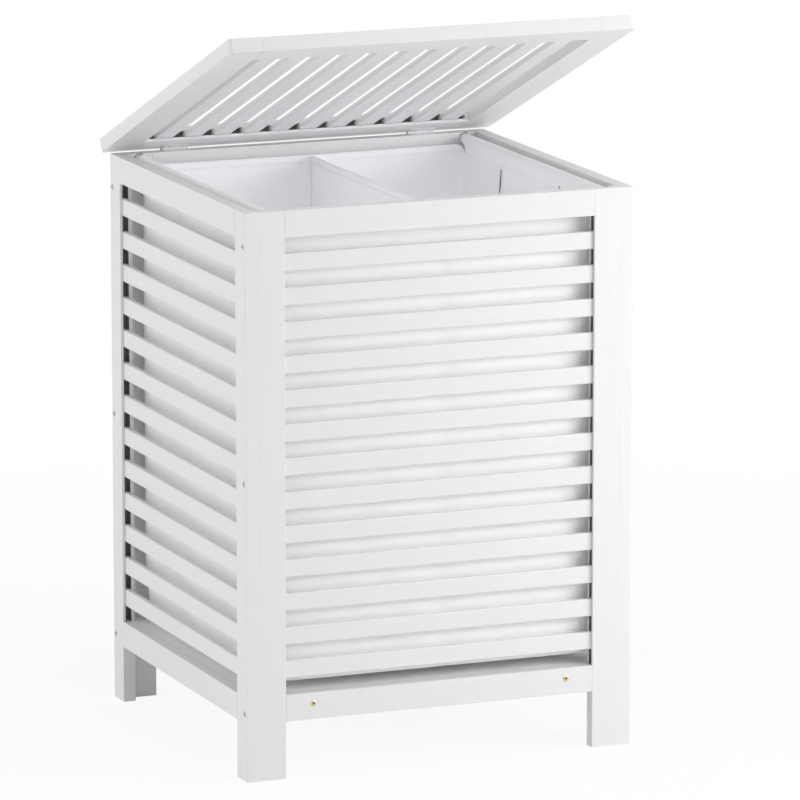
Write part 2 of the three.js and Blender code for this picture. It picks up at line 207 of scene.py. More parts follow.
def satin_paint(name, grain, pivot=(0, 0, 0), tilt=0.0, other=None, grooves=()):
    """Satin paint over wood. The grain runs along axis 0, 1 or 2 of a frame at the pivot, tilted
    about X. other is (axis, place, grain): past that place on that axis the grain turns. Inside
    each of grooves, a box and an axis, painted shade in dark grey covers all but faces facing that axis."""
    paint = bpy.data.materials.new(name)
    tree = empty_tree(paint)
    read = add_node(tree, "ShaderNodeTexCoord").outputs
    place, normal = read["Object"], read["Normal"]
    local = add_node(tree, "ShaderNodeMapping", {
        "Vector": place, "Location": pivot, "Rotation": (tilt, 0, 0)}, vector_type="TEXTURE").outputs[0]
    cells = add_node(tree, "ShaderNodeVectorMath", {0: local, 1: grain_scale(grain)},
                     operation="MULTIPLY").outputs[0]
    if other:
        axis, start, turned = other
        parts = add_node(tree, "ShaderNodeSeparateXYZ", {0: local})
        past = add_node(tree, "ShaderNodeMath", {0: parts.outputs[axis], 1: start}, operation="GREATER_THAN")
        turned_cells = add_node(tree, "ShaderNodeVectorMath", {0: local, 1: grain_scale(turned)},
                                operation="MULTIPLY").outputs[0]
        chosen = add_node(tree, "ShaderNodeMix", {0: past.outputs[0], 4: cells, 5: turned_cells},
                          data_type="VECTOR")
        cells = chosen.outputs[1]
    wood = add_node(tree, "ShaderNodeTexNoise", {
        "Vector": cells, "Scale": 1.0, "Detail": 4.0, "Roughness": 0.6})
    spray = add_node(tree, "ShaderNodeTexNoise", {"Vector": local, "Scale": 1 / spray_grain, "Detail": 2.0})
    tone = add_node(tree, "ShaderNodeMapRange", {0: wood.outputs[0], 1: 0.32, 2: 0.62})
    colour = add_node(tree, "ShaderNodeMix", {
        0: tone.outputs[0], 6: linear(paint_shade), 7: linear(paint_white)}, data_type="RGBA")
    # Painted shade: inside each groove, on all but the faces that face its axis, the colour turns dark grey.
    for low, high, painted in grooves:
        inside = within(tree, local, low, high)
        facing = add_node(tree, "ShaderNodeSeparateXYZ", {0: normal}).outputs[painted]
        side = add_node(tree, "ShaderNodeMath", {0: facing}, operation="ABSOLUTE").outputs[0]
        wall = add_node(tree, "ShaderNodeMath", {0: side, 1: 0.5}, operation="LESS_THAN").outputs[0]
        inside = add_node(tree, "ShaderNodeMath", {0: inside, 1: wall}, operation="MULTIPLY").outputs[0]
        colour = add_node(tree, "ShaderNodeMix", {
            0: inside, 6: colour.outputs[2], 7: linear(groove_painted_shade)}, data_type="RGBA")
    sheen = add_node(tree, "ShaderNodeMapRange", {0: wood.outputs[0], 1: 0.3, 2: 0.7, 3: 0.46, 4: 0.42})
    lines = add_node(tree, "ShaderNodeBump", {
        "Height": wood.outputs[0], "Strength": 0.14, "Distance": grain_height})
    film = add_node(tree, "ShaderNodeBump", {
        "Height": spray.outputs[0], "Strength": 0.25, "Distance": spray_height, "Normal": lines.outputs[0]})
    shader = add_node(tree, "ShaderNodeBsdfPrincipled", {
        "Base Color": colour.outputs[2], "Roughness": sheen.outputs[0], "Normal": film.outputs[0],
        "IOR": 1.5})
    add_node(tree, "ShaderNodeOutputMaterial", {"Surface": shader.outputs[0]})
    return paint


def finish_nodes(material, names):
    """Puts a material on CAD nodes through their own material slots."""
    for name in names:
        for slot in nodes[name].material_slots:
            slot.material = material


box_half_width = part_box("right_front_stile")[1].x
box_half_depth = -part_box("right_front_stile")[0].y
groove_near, groove_far, groove_deep, groove_lip = 0.0033, 0.0104, 0.0086, 0.0001
side_groove_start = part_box("left_rear_stile")[0].y + groove_lip
end_groove_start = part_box("front_right_stile")[0].x + groove_lip
rails_from, rails_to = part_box("front_bottom_rail")[1].z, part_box("front_top_rail")[0].z
side_groove = ((box_half_width - groove_far, side_groove_start, rails_from),
               (box_half_width - groove_near, side_groove_start + groove_deep, rails_to), 2)
end_groove = ((end_groove_start, box_half_depth - groove_far, rails_from),
              (end_groove_start + groove_deep, box_half_depth - groove_near, rails_to), 2)
upright_paint = satin_paint("satin paint, upright grain", 2, grooves=[side_groove, end_groove])
crossways_paint = satin_paint("satin paint, crossways grain", 0)
lengthways_paint = satin_paint("satin paint, front to back grain", 1)
back_comb_paint = satin_paint(
    "satin paint, back slats and stile", 0,
    other=(0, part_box("back_right_stile_with_slats")[1].x - stile_width, 2))
right_comb_paint = satin_paint(
    "satin paint, right slats and stile", 1, other=(1, box_half_depth - stile_width, 2))

finish_nodes(upright_paint, [
    "front_left_stile", "front_right_stile", "back_left_stile", "left_front_stile", "left_rear_stile",
    "right_front_stile"])
finish_nodes(crossways_paint, ["front_top_rail", "front_bottom_rail", "back_top_rail", "back_bottom_rail"])
finish_nodes(crossways_paint, [f"front_slat_{i:02d}" for i in range(1, 14)])
finish_nodes(lengthways_paint, ["left_top_rail", "left_bottom_rail", "right_top_rail", "right_bottom_rail"])
finish_nodes(lengthways_paint, [f"left_slat_{i:02d}" for i in range(1, 14)])
finish_nodes(back_comb_paint, ["back_right_stile_with_slats"])
finish_nodes(right_comb_paint, ["right_rear_stile_with_slats"])


# Painted joints: each panel is glued up, sanded flush and then sprayed, so the film fills the
# joints between its stiles and rails. Where two panels meet at a corner it leaves a fine line.

joint_reach, joint_low, joint_foot, joint_clear = 0.00044, 0.00013, 0.00057, 0.00002


def mesh_piece(name, points, faces, material, uv=None, smooth=True):
    """A mesh object from arrays of points and faces, with an optional UV for each point."""
    mesh = bpy.data.meshes.new(name)
    mesh.from_pydata(np.asarray(points).reshape(-1, 3).tolist(), [], [tuple(f) for f in faces])
    mesh.polygons.foreach_set("use_smooth", np.full(len(mesh.polygons), smooth))
    if uv is not None:
        corner = np.empty(len(mesh.loops), np.int32)
        mesh.loops.foreach_get("vertex_index", corner)
        layer = mesh.uv_layers.new(name="surface")
        layer.data.foreach_set("uv", np.asarray(uv, np.float32).reshape(-1, 2)[corner].ravel())
    mesh.materials.append(material)
    mesh.update()
    piece = bpy.data.objects.new(name, mesh)
    scene.collection.objects.link(piece)
    return piece


def grid_faces(rows, columns, closed):
    """Quads of a grid of points, whose last column joins the first where it is closed."""
    spans = columns if closed else columns - 1
    row, column = np.meshgrid(np.arange(rows - 1), np.arange(spans), indexing="ij")
    after = (column + 1) % columns
    corners = (row * columns + column, row * columns + after, (row + 1) * columns + after,
               (row + 1) * columns + column)
    return np.stack(corners, -1).reshape(-1, 4)


def joint_film(joints):
    """A three-sided bar of paint in each joint's groove, just below the surface. A joint is its two
    ends, its outward way, and the way to its eased edge, or both ways where both edges are eased."""
    points = []
    for start, end, outward, towards, both_eased in joints:
        outward, towards = np.array(outward, float), np.array(towards, float)
        back = -joint_reach if both_eased else joint_clear
        foot = 0.0 if both_eased else joint_clear
        outline = [joint_reach * towards - joint_low * outward, back * towards - joint_low * outward,
                   foot * towards - joint_foot * outward]
        facing = np.cross(outline[1] - outline[0], outline[2] - outline[0])
        turned = np.dot(facing, np.subtract(end, start)) > 0
        outline = outline[::-1] if turned else outline
        points.append([np.add(place, outline) for place in (start, end)])
    bar = [(0, 1, 2), (5, 4, 3), (0, 3, 4, 1), (1, 4, 5, 2), (2, 5, 3, 0)]
    faces = [tuple(6 * i + corner for corner in face) for i in range(len(points)) for face in bar]
    return np.array(points), faces


corner_joint = -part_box("front_left_stile")[0].x
front_joint = -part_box("front_left_stile")[1].x
side_joint = -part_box("left_front_stile")[1].y
stile_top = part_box("front_left_stile")[1].z
film_joints = []
for near in (-1, 1):
    for side in (-1, 1):
        corner, front, flank = (
            (side * corner_joint, near * box_half_depth), (side * front_joint, near * box_half_depth),
            (side * box_half_width, near * side_joint))
        film_joints.append(((*corner, 0), (*corner, stile_top), (0, near, 0), (1, 0, 0), True))
        for rail in ("top_rail", "bottom_rail"):
            low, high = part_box(f"front_{rail}")[0].z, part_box(f"front_{rail}")[1].z
            film_joints.append(((*front, low), (*front, high), (0, near, 0), (side, 0, 0), False))
            low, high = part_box(f"left_{rail}")[0].z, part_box(f"left_{rail}")[1].z
            film_joints.append(((*flank, low), (*flank, high), (side, 0, 0), (0, near, 0), False))
film_points, film_faces = joint_film(film_joints)
painted_joints = mesh_piece("painted_joints", film_points, film_faces, upright_paint, smooth=False)
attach(painted_joints, "box")


# Panel and base screws: zinc-plated steel with a cross recess, coloured dark as painted shade. Three
# go through each side stile into the edge of the front or back panel, clear-plated. Two yellow ones
# go through each of the front and back bottom rails into the ends of the base battens.

screw_radius, screw_dome, screw_skirt = 0.0037, 0.00105, 0.0004
dome_power, inner_ring = 2.4, 0.02
recess_radius, recess_half_width, recess_depth = 0.0023, 0.00072, 0.00085
arm_fade, end_fade = 0.5, 0.3
rim_from, rim_width, rim_painted_shadow = 0.80, 0.20, 0.5
recess_shade_rough, recess_shade_cover = 0.9, 0.6
screw_rings, screw_sides = 14, 40
screw_levels = (0.5994, 0.3354, 0.0763)
screw_inset = 0.0072
batten_across, batten_level = 0.152, 0.083


def screw_heads(radius, dome, recess, places):
    """Points, faces and marks of screw heads. On a head, height is a dome that falls with a power
    of the radius, less a cross whose arms fade out over their width and at their ends. A point's
    mark is how deep it lies in the cross, and how near the rim."""
    part = np.linspace(inner_ring, 1, screw_rings)[:, None]
    turn = np.linspace(0, 2 * math.pi, screw_sides, endpoint=False)[None, :]
    out = radius * part
    quarter = (turn + math.pi / 4) % (math.pi / 2) - math.pi / 4
    beside = out * np.abs(np.sin(quarter))
    recess_reach, recess_half, depth = recess
    arm = np.clip((recess_half - beside) / (arm_fade * recess_half) + 0.5, 0, 1)
    end = np.clip((recess_reach - out) / (end_fade * recess_reach), 0, 1)
    height = dome * (1 - part**dome_power) - depth * arm * end
    head = np.stack([out * np.cos(turn), out * np.sin(turn), height + 0 * turn], -1)
    skirt = head[-1:] - np.array([0, 0, screw_skirt])
    centre = np.array([[0, 0, head[0, :, 2].mean()]])
    local = np.concatenate([head.reshape(-1, 3), skirt.reshape(-1, 3), centre])
    rim = np.clip((part - rim_from) / rim_width, 0, 1) + 0 * turn
    marks = np.stack([(arm * end).ravel(), rim.ravel()], -1)
    marks = np.concatenate([marks, np.tile([0.0, 1.0], (screw_sides, 1)), [[1.0, 0.0]]])
    quads = grid_faces(screw_rings + 1, screw_sides, True)
    first = np.arange(screw_sides)
    fan = np.stack([np.full(screw_sides, len(local) - 1), (first + 1) % screw_sides, first], -1)
    base = (screw_rings * screw_sides + first)[::-1]
    points, faces = [], []
    for place, normal, roll in places:
        frame_turn = Vector(normal).to_track_quat("Z", "Y").to_matrix() @ Matrix.Rotation(roll, 3, "Z")
        offset = len(local) * len(points)
        points.append(local @ np.array(frame_turn).T + np.array(place))
        faces += [tuple(face[::-1] + offset) for ring in (quads, fan) for face in ring]
        faces.append(tuple(base + offset)[::-1])
    return np.concatenate(points), faces, np.tile(marks, (len(places), 1))


def plated_metal(name, colour, dull, rough, recess=None):
    """Plated steel: metal of one colour that clouds towards a duller one, with fine scratches. A
    recess colour, matt, is painted shade where a screw head's marks say: in the cross and, thinner,
    as a painted shadow at the rim. Where the mark reaches the cover value, no bare metal is left."""
    metal = bpy.data.materials.new(name)
    tree = empty_tree(metal)
    place = add_node(tree, "ShaderNodeTexCoord").outputs["Object"]
    cloud = add_node(tree, "ShaderNodeTexNoise", {"Vector": place, "Scale": 420.0, "Detail": 3.0})
    tone = add_node(tree, "ShaderNodeMix", {0: cloud.outputs[0], 6: linear(colour), 7: linear(dull)},
                    data_type="RGBA")
    rub = add_node(tree, "ShaderNodeTexNoise", {"Vector": place, "Scale": 2600.0, "Detail": 2.0})
    gloss = add_node(tree, "ShaderNodeMapRange", {0: rub.outputs[0], 3: rough - 0.08, 4: rough + 0.12})
    bump = add_node(tree, "ShaderNodeBump", {"Height": rub.outputs[0], "Strength": 0.3, "Distance": 0.00003})
    shader = add_node(tree, "ShaderNodeBsdfPrincipled", {
        "Base Color": tone.outputs[2], "Roughness": gloss.outputs[0], "Normal": bump.outputs[0],
        "Metallic": 1.0})
    # Painted shade: the recess colour darkens the cross, and at a smaller share the rim, where the head's
    # shadow falls.
    if recess:
        marks = add_node(tree, "ShaderNodeUVMap", uv_map="surface").outputs[0]
        marks = add_node(tree, "ShaderNodeSeparateXYZ", {0: marks}).outputs
        rim = add_node(tree, "ShaderNodeMath", {0: marks[1], 1: rim_painted_shadow}, operation="MULTIPLY").outputs[0]
        dark = add_node(tree, "ShaderNodeMath", {0: marks[0], 1: rim}, operation="MAXIMUM").outputs[0]
        shade = add_node(tree, "ShaderNodeMix", {
            0: dark, 6: tone.outputs[2], 7: linear(recess)}, data_type="RGBA")
        matt = add_node(tree, "ShaderNodeMix", {0: dark, 2: gloss.outputs[0], 3: recess_shade_rough})
        bare = add_node(tree, "ShaderNodeMapRange", {0: dark, 1: 0.0, 2: recess_shade_cover, 3: 1.0, 4: 0.0})
        for socket, value in (("Base Color", shade.outputs[2]), ("Roughness", matt.outputs[0]),
                              ("Metallic", bare.outputs[0])):
            tree.links.new(value, shader.inputs[socket])
    add_node(tree, "ShaderNodeOutputMaterial", {"Surface": shader.outputs[0]})
    return metal


# The last colour of each is the painted shade of its recess.
clear_zinc = plated_metal("clear zinc plate", "#D6D2CE", "#B4AFAA", 0.42, "#47423D")
yellow_zinc = plated_metal("yellow zinc plate", "#F0E4BC", "#D2C49A", 0.34, "#7A5A1C")

# A place is a point, the way its head faces, and the turn of its cross.
side_places, rail_places = [], []
for side in (-1, 1):
    for row, level in enumerate(screw_levels):
        for end in (-1, 1):
            spot = (side * box_half_width, end * (box_half_depth - screw_inset), level)
            side_places.append((spot, (side, 0, 0), 0.5 + 1.3 * row + 0.7 * end))
for end in (-1, 1):
    for side in (-1, 1):
        spot = (side * batten_across, end * box_half_depth, batten_level)
        rail_places.append((spot, (0, end, 0), 0.4 + 0.9 * side))
cross_recess = recess_radius, recess_half_width, recess_depth
for name, plate, places in (
        ("side_screws", clear_zinc, side_places), ("rail_screws", yellow_zinc, rail_places)):
    head_points, head_faces, head_marks = screw_heads(screw_radius, screw_dome, cross_recess, places)
    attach(mesh_piece(name, head_points, head_faces, plate, head_marks), "box")


# Base: a thin board, painted matt, that lies on two planed battens. It shows only as a shaded
# strip under the liner, so it has a plainer film than the frame.

board_white, board_shade = "#F4F4F4", "#EAEAEB"


def even_finish(name, shade, light, cloud, rough, bump, grain=None):
    """A plain finish that clouds between two colours over a fine grain. cloud and grain are a
    noise's cells per metre and detail, and grain is cloud where it isn't given. rough is one
    roughness, or the two between which it clouds, and bump is the grain's strength and height."""
    finish = bpy.data.materials.new(name)
    tree = empty_tree(finish)
    place = add_node(tree, "ShaderNodeTexCoord").outputs["Object"]
    patches, fibres = [
        add_node(tree, "ShaderNodeTexNoise", {"Vector": place, "Scale": cells, "Detail": detail}).outputs[0]
        for cells, detail in (cloud, grain or cloud)]
    tone = add_node(tree, "ShaderNodeMix", {0: patches, 6: linear(shade), 7: linear(light)},
                    data_type="RGBA")
    if isinstance(rough, tuple):
        rough = add_node(tree, "ShaderNodeMapRange", {0: patches, 3: rough[0], 4: rough[1]}).outputs[0]
    relief = add_node(tree, "ShaderNodeBump", {"Height": fibres, "Strength": bump[0], "Distance": bump[1]})
    shader = add_node(tree, "ShaderNodeBsdfPrincipled", {
        "Base Color": tone.outputs[2], "Roughness": rough, "Normal": relief.outputs[0]})
    add_node(tree, "ShaderNodeOutputMaterial", {"Surface": shader.outputs[0]})
    return finish


board_paint = even_finish("matt paint on thin board", board_shade, board_white, (24.0, 3.0),
                          (0.6, 0.72), (0.35, 0.0001), grain=(900.0, 3.0))
finish_nodes(board_paint, ["base_board"])
finish_nodes(lengthways_paint, ["base_batten_left", "base_batten_right", "liner_rod_left", "liner_rod_right"])


# Liner bag: one seamless-looking tube of off-white cotton with a sewn-in bottom, hung from two
# rods by its sides. Its front and back hang free between the rods, so their hems dip a little. The
# front settles towards the slats, and the empty cloth has a few soft creases.

bag_half_width, bag_half_depth = 0.1990, 0.1950
hem_level, hem_dip = 0.6235, 0.0012
side_top, bag_bottom = 0.6178, 0.1065
bottom_round, bottom_sag = 0.003, 0.0010
corners = [(-1, -1), (1, -1), (1, 1), (-1, 1)]
corner_top, corner_low = (0.008, 0.008, 0.0035, 0.005), (0.020, 0.024, 0.020, 0.006)
corner_base, corner_growth, base_growth = 0.022, 0.20, 0.86
corner_rise, rise_reach = (0.0040, 0.0035, 0.0006, 0.0012), 0.012
front_settle, settle_from, settle_to = 0.0030, 0.014, 0.055
divider_across, seam_dent, dent_reach = 0.0080, 0.0012, 0.012
cloth_thickness = 0.0009
thread_spacing, thread_height = 0.0014, 0.0002
slub_across, slub_along = 900, 45
side_columns, corner_columns = 56, 9
wall_rows, round_rows, bottom_rows = 84, 7, 24
slit_y, slit_slope, slit_top, slit_low, slit_half = 0.0838, -0.15, 0.6160, 0.5780, 0.0022


def woven_cotton(name, light, shade, thread):
    """Plain-weave cotton. Height is the arch of the thread on top, warp or weft in turn on a
    checker of thread spacings, and slubs lengthen some threads along their own direction."""
    cloth = bpy.data.materials.new(name)
    tree = empty_tree(cloth)
    flat = add_node(tree, "ShaderNodeUVMap", uv_map="surface").outputs[0]
    parts = add_node(tree, "ShaderNodeSeparateXYZ", {0: flat})
    arches, threads = [], []
    for axis in (0, 1):
        count = add_node(tree, "ShaderNodeMath", {0: parts.outputs[axis], 1: math.pi / thread},
                         operation="MULTIPLY")
        wave = add_node(tree, "ShaderNodeMath", {0: count.outputs[0]}, operation="SINE")
        arches.append(add_node(tree, "ShaderNodeMath", {0: wave.outputs[0]}, operation="ABSOLUTE").outputs[0])
        threads.append(wave.outputs[0])
    crossing = add_node(tree, "ShaderNodeMath", {0: threads[0], 1: threads[1]}, operation="MULTIPLY")
    over = add_node(tree, "ShaderNodeMapRange", {0: crossing.outputs[0], 1: -0.12, 2: 0.12})
    weave = add_node(tree, "ShaderNodeMix", {0: over.outputs[0], 2: arches[0], 3: arches[1]})
    slubs = []
    for scale in ((slub_across, slub_along, 1), (slub_along, slub_across, 1)):
        run = add_node(tree, "ShaderNodeMapping", {"Vector": flat, "Scale": scale}).outputs[0]
        noise = add_node(tree, "ShaderNodeTexNoise", {"Vector": run, "Scale": 1.0, "Detail": 2.0})
        slubs.append(noise.outputs[0])
    slub = add_node(tree, "ShaderNodeMath", {0: slubs[0], 1: slubs[1]}, operation="ADD")
    height = add_node(tree, "ShaderNodeMath", {0: slub.outputs[0], 1: 0.6, 2: weave.outputs[0]},
                      operation="MULTIPLY_ADD")
    # Painted shade: the tone follows the height, so the hollows between threads are darker than the crowns
    # and the raised slubs.
    tone = add_node(tree, "ShaderNodeMapRange", {0: height.outputs[0], 1: 0.5, 2: 1.7})
    colour = add_node(tree, "ShaderNodeMix", {0: tone.outputs[0], 6: linear(shade), 7: linear(light)},
                      data_type="RGBA")
    bump = add_node(tree, "ShaderNodeBump", {
        "Height": height.outputs[0], "Strength": 0.45, "Distance": thread_height})
    shader = add_node(tree, "ShaderNodeBsdfPrincipled", {
        "Base Color": colour.outputs[2], "Normal": bump.outputs[0], "Roughness": 0.92,
        "Sheen Weight": 0.25, "Sheen Roughness": 0.6, "Specular IOR Level": 0.2})
    add_node(tree, "ShaderNodeOutputMaterial", {"Surface": shader.outputs[0]})
    return cloth


# The cloth has about 20 threads to the centimetre. They are drawn 1.4 mm apart, because finer
# ones would blur into one tone at this distance.
cotton = woven_cotton("off-white plain-weave cotton", "#FCFCFD", "#F3F3F5", thread_spacing)


def smooth_step(value, low, high):
    """0 below low and 1 above high, with a smooth ease between them."""
    part = np.clip((value - low) / (high - low), 0, 1)
    return part * part * (3 - 2 * part)


def travelled(line):
    """How far along a line of points each of them lies, from its start."""
    return np.concatenate([[0], np.cumsum(np.linalg.norm(np.diff(line, axis=0), axis=1))])


def crease(across, height, start, end, width, depth):
    """Depth times a bell of the distance to a straight line, which fades towards the line's ends."""
    run = np.array(end) - np.array(start)
    along = ((across - start[0]) * run[0] + (height - start[1]) * run[1]) / (run @ run)
    held = np.clip(along, 0, 1)
    away = np.hypot(across - start[0] - held * run[0], height - start[1] - held * run[1])
    return depth * np.exp(-((away / width) ** 2)) * np.sin(math.pi * (0.12 + 0.76 * held))


def soft_creases(across, height, count, seed, depth):
    """The sum of that count of creases, all of one depth, at places that the seed gives: most of
    them steep, in and out in turn."""
    random = np.random.default_rng(seed)
    total = np.zeros_like(across)
    for i in range(count):
        start = (random.uniform(-0.17, 0.17), random.uniform(0.20, 0.60))
        lean, length = random.uniform(-0.8, 0.8), random.uniform(0.07, 0.20)
        end = (start[0] + length * math.sin(lean), start[1] - length * math.cos(lean))
        total += crease(across, height, start, end, random.uniform(0.012, 0.030), (-1) ** i * depth)
    return total


def corner_tension(across, height, half, depth):
    """Shallow troughs that run down and inwards from both upper corners of a hanging panel."""
    total = np.zeros_like(across)
    for side in (-1, 1):
        for drop, reach in ((0.13, 0.10), (0.24, 0.06)):
            start, end = (side * (half - 0.008), 0.612), (side * (half - reach), 0.612 - drop)
            total -= crease(across, height, start, end, 0.014, depth)
    return total


def wall_swell(x, y, height):
    """How far each of the four walls stands out, as (front, right, back, left): its creases, the
    pull of its corners or a slow wave, the front's settling, and a dent at the divider's seams."""
    down = smooth_step(hem_level - height, 0.0, 0.18)
    free = 1 - np.exp(-(((x - divider_across) / 0.030) ** 2))
    front = soft_creases(x, height, 9, 3, 0.0008) + corner_tension(x, height, bag_half_width, 0.0010)
    back = free * soft_creases(x, height, 9, 8, 0.0022) + corner_tension(x, height, bag_half_width, 0.0018)
    settled = smooth_step(hem_level - height, settle_from, settle_to)
    front += front_settle * settled * (1 - (x / bag_half_width) ** 8)
    for wall in (front, back):
        wall -= seam_dent * np.exp(-(((x - divider_across) / dent_reach) ** 2))
    right = soft_creases(y, height, 8, 5, 0.0028) + 0.0014 * down * np.sin(2 * math.pi * y / 0.13 + 0.6)
    left = soft_creases(y, height, 7, 11, 0.0016) + 0.0014 * down * np.sin(2 * math.pi * y / 0.16 + 1.4)
    left -= crease(y, height, (0.078, 0.606), (0.092, 0.500), 0.014, 0.0030)
    left -= crease(y, height, (-0.070, 0.600), (-0.120, 0.440), 0.024, 0.0026)
    return front, right, back, left


def ring_numbers():
    """A rounded rectangle's ring: each point's share of the four corners, and its outward way. The
    point is the sum of the shares of (corner centre plus outward way times that corner's radius)."""
    run = np.linspace(0, 1, side_columns)[:, None]
    bend = np.linspace(0, math.pi / 2, corner_columns + 2)[1:-1]
    corner = np.eye(4)
    shares, outward = [], []
    for side in range(4):
        after = corner[(side + 1) % 4]
        shares += [corner[side] * (1 - run) + after * run, np.tile(after, (corner_columns, 1))]
        turn = math.pi * (side - 1) / 2
        angle = np.concatenate([np.full(side_columns, turn), turn + bend])
        outward.append(np.stack([np.cos(angle), np.sin(angle)], -1))
    return np.concatenate(shares), np.concatenate(outward)


ring_share, ring_out = ring_numbers()
columns = len(ring_share)


def ring_at(radii):
    """The ring's points in plan, one row for each row of four corner radii."""
    radii = np.asarray(radii)[:, :, None]
    half = np.array([bag_half_width, bag_half_depth])
    centres = np.array(corners)[None] * (half - radii)
    return ring_share @ centres + (ring_share @ radii) * ring_out


facing = np.abs(ring_out[:, 1]) ** 2
plan_top = ring_at([corner_top])[0]
hem_line = hem_level - hem_dip * (1 - (plan_top[:, 0] / bag_half_width) ** 2)
for corner, rise in zip(corners, corner_rise):
    away = np.linalg.norm(plan_top - np.array(corner) * (bag_half_width, bag_half_depth), axis=1)
    hem_line = hem_line + rise * np.exp(-((away / rise_reach) ** 2))
top_line = facing * hem_line + (1 - facing) * side_top

down = np.linspace(0, 1, wall_rows)[:, None]
round_start = bag_bottom + bottom_round
wall_height = top_line[None, :] * (1 - down) + round_start * down
grown = smooth_step(down, 0, corner_growth)
corner_radii = np.array(corner_top) + np.subtract(corner_low, corner_top) * grown
corner_radii = corner_radii + np.subtract(corner_base, corner_low) * smooth_step(down, base_growth, 1)
wall_plan = ring_at(corner_radii)
swells = wall_swell(wall_plan[..., 0], wall_plan[..., 1], wall_height)
weights = [np.clip(d, 0, 1) ** 2 for d in (-ring_out[:, 1], ring_out[:, 0], ring_out[:, 1], -ring_out[:, 0])]
swell = sum(weight * wall for weight, wall in zip(weights, swells))
wall_plan = wall_plan + swell[..., None] * ring_out
walls = np.dstack([wall_plan, wall_height])

# The bottom edge turns in by a quarter circle, and the bottom shrinks to a point as it sags.
edge_turn = np.linspace(0, math.pi / 2, round_rows + 1)[1:, None]
edge_plan = wall_plan[-1][None] - (bottom_round * (1 - np.cos(edge_turn)))[..., None] * ring_out
edge_height = round_start - bottom_round * np.sin(edge_turn) + 0 * edge_plan[..., 0]
shrink = np.linspace(1, 0.02, bottom_rows + 1)[1:, None]
bottom_plan = edge_plan[-1][None] * shrink[..., None]
bottom_height = bag_bottom - bottom_sag * (1 - shrink**2) + 0 * bottom_plan[..., 0]
bag = np.concatenate([walls, np.dstack([edge_plan, edge_height]), np.dstack([bottom_plan, bottom_height])])

# A narrow slit, open at the right wall: its two edges stand a little apart between two columns.
right_columns = np.arange(side_columns + corner_columns, 2 * side_columns + corner_columns)
slit_column = right_columns[np.argmin(np.abs(plan_top[right_columns, 1] - slit_y))]
slit_rows = (walls[:, slit_column, 2] < slit_top) & (walls[:, slit_column, 2] > slit_low)
near = np.exp(-(((np.arange(columns) - slit_column - 0.5) / 3.0) ** 2))
slit_line = slit_y + slit_slope * (walls[:, slit_column, 2] - slit_top)
middle = (bag[:wall_rows, slit_column, 1] + bag[:wall_rows, slit_column + 1, 1]) / 2
in_slit = smooth_step(walls[:, slit_column, 2], slit_low - 0.05, slit_low)
bag[:wall_rows, :, 1] += near[None, :] * ((slit_line - middle) * in_slit)[:, None]
up_slit = (walls[slit_rows, slit_column, 2] - slit_low) / (slit_top - slit_low)
slit_gape = slit_half * (0.6 + 0.4 * np.sin(math.pi * np.clip(up_slit, 0, 1)))
for slit_edge, way in ((slit_column, -1), (slit_column + 1, 1)):
    bag[:wall_rows][slit_rows, slit_edge, 1] = slit_line[slit_rows] + way * slit_gape

bag_rows = len(bag)
faces = grid_faces(bag_rows, columns, True)
row_of, column_of = faces[:, 0] // columns, faces[:, 0] % columns
cut = (column_of == slit_column) & np.isin(row_of, np.flatnonzero(slit_rows)[:-1])
bag_points = np.concatenate([bag.reshape(-1, 3), [[0, 0, bag_bottom - bottom_sag]]])
last = (bag_rows - 1) * columns + np.arange(columns)
fan = np.stack([last, np.roll(last, -1), np.full(columns, len(bag_points) - 1)], -1)
steps = np.linalg.norm(np.diff(bag, axis=0), axis=2)
cloth_down = np.concatenate([np.zeros((1, columns)), np.cumsum(steps, 0)])
round_it = travelled(plan_top)
bag_uv = np.dstack([np.tile(round_it, (bag_rows, 1)), cloth_down]).reshape(-1, 2)
bag_uv = np.concatenate([bag_uv, bag_uv[-1:]])
bag_faces = [tuple(f[::-1]) for f in faces[~cut]] + [tuple(f[::-1]) for f in fan]
liner_bag = mesh_piece("liner_bag", bag_points, bag_faces, cotton, bag_uv)


def thicken(piece, thickness):
    """Gives a sheet its thickness, half to each side."""
    wall = piece.modifiers.new("cloth", "SOLIDIFY")
    wall.thickness = thickness
    wall.offset = 0
    wall.use_even_offset = True


thicken(liner_bag, cloth_thickness)


# A near-black strip behind the slit, on the outside, is painted shade: the slit shows as a thin dark line.
slit_shade_half, slit_shade_stand_off, slit_shade_thickness, slit_shade_columns = 0.0045, 0.0013, 0.0005, 4
slit_shade_rows = np.append(np.flatnonzero(slit_rows), np.flatnonzero(slit_rows)[-1] + 1)
slit_shade_across = np.linspace(-slit_shade_half, slit_shade_half, slit_shade_columns)[None, :]
slit_shade_strip = np.dstack([
    walls[slit_shade_rows, slit_column, 0][:, None] + slit_shade_stand_off + 0 * slit_shade_across,
    slit_line[slit_shade_rows][:, None] + slit_shade_across,
    walls[slit_shade_rows, slit_column, 2][:, None] + 0 * slit_shade_across])
slit_shade_cloth = woven_cotton("near-black cloth as slit shade", "#1E1E20", "#121214", thread_spacing)
slit_shade_faces = grid_faces(len(slit_shade_rows), slit_shade_columns, False)
liner_slit_shade_strip = mesh_piece("liner_slit_shade_strip", slit_shade_strip, slit_shade_faces, slit_shade_cloth, slit_shade_strip[..., 1:])
thicken(liner_slit_shade_strip, slit_shade_thickness)


# Divider: a single sheet of the same cotton, sewn up and down the front, the back and the bottom
# of the bag, a little to the right of the middle. It hangs slack, so it bows between its seams.

divider_bow = 0.0018
divider_rows, divider_columns = 70, 64
divider_sewn, divider_drop, divider_lift = 0.0008, 0.0012, 0.0006

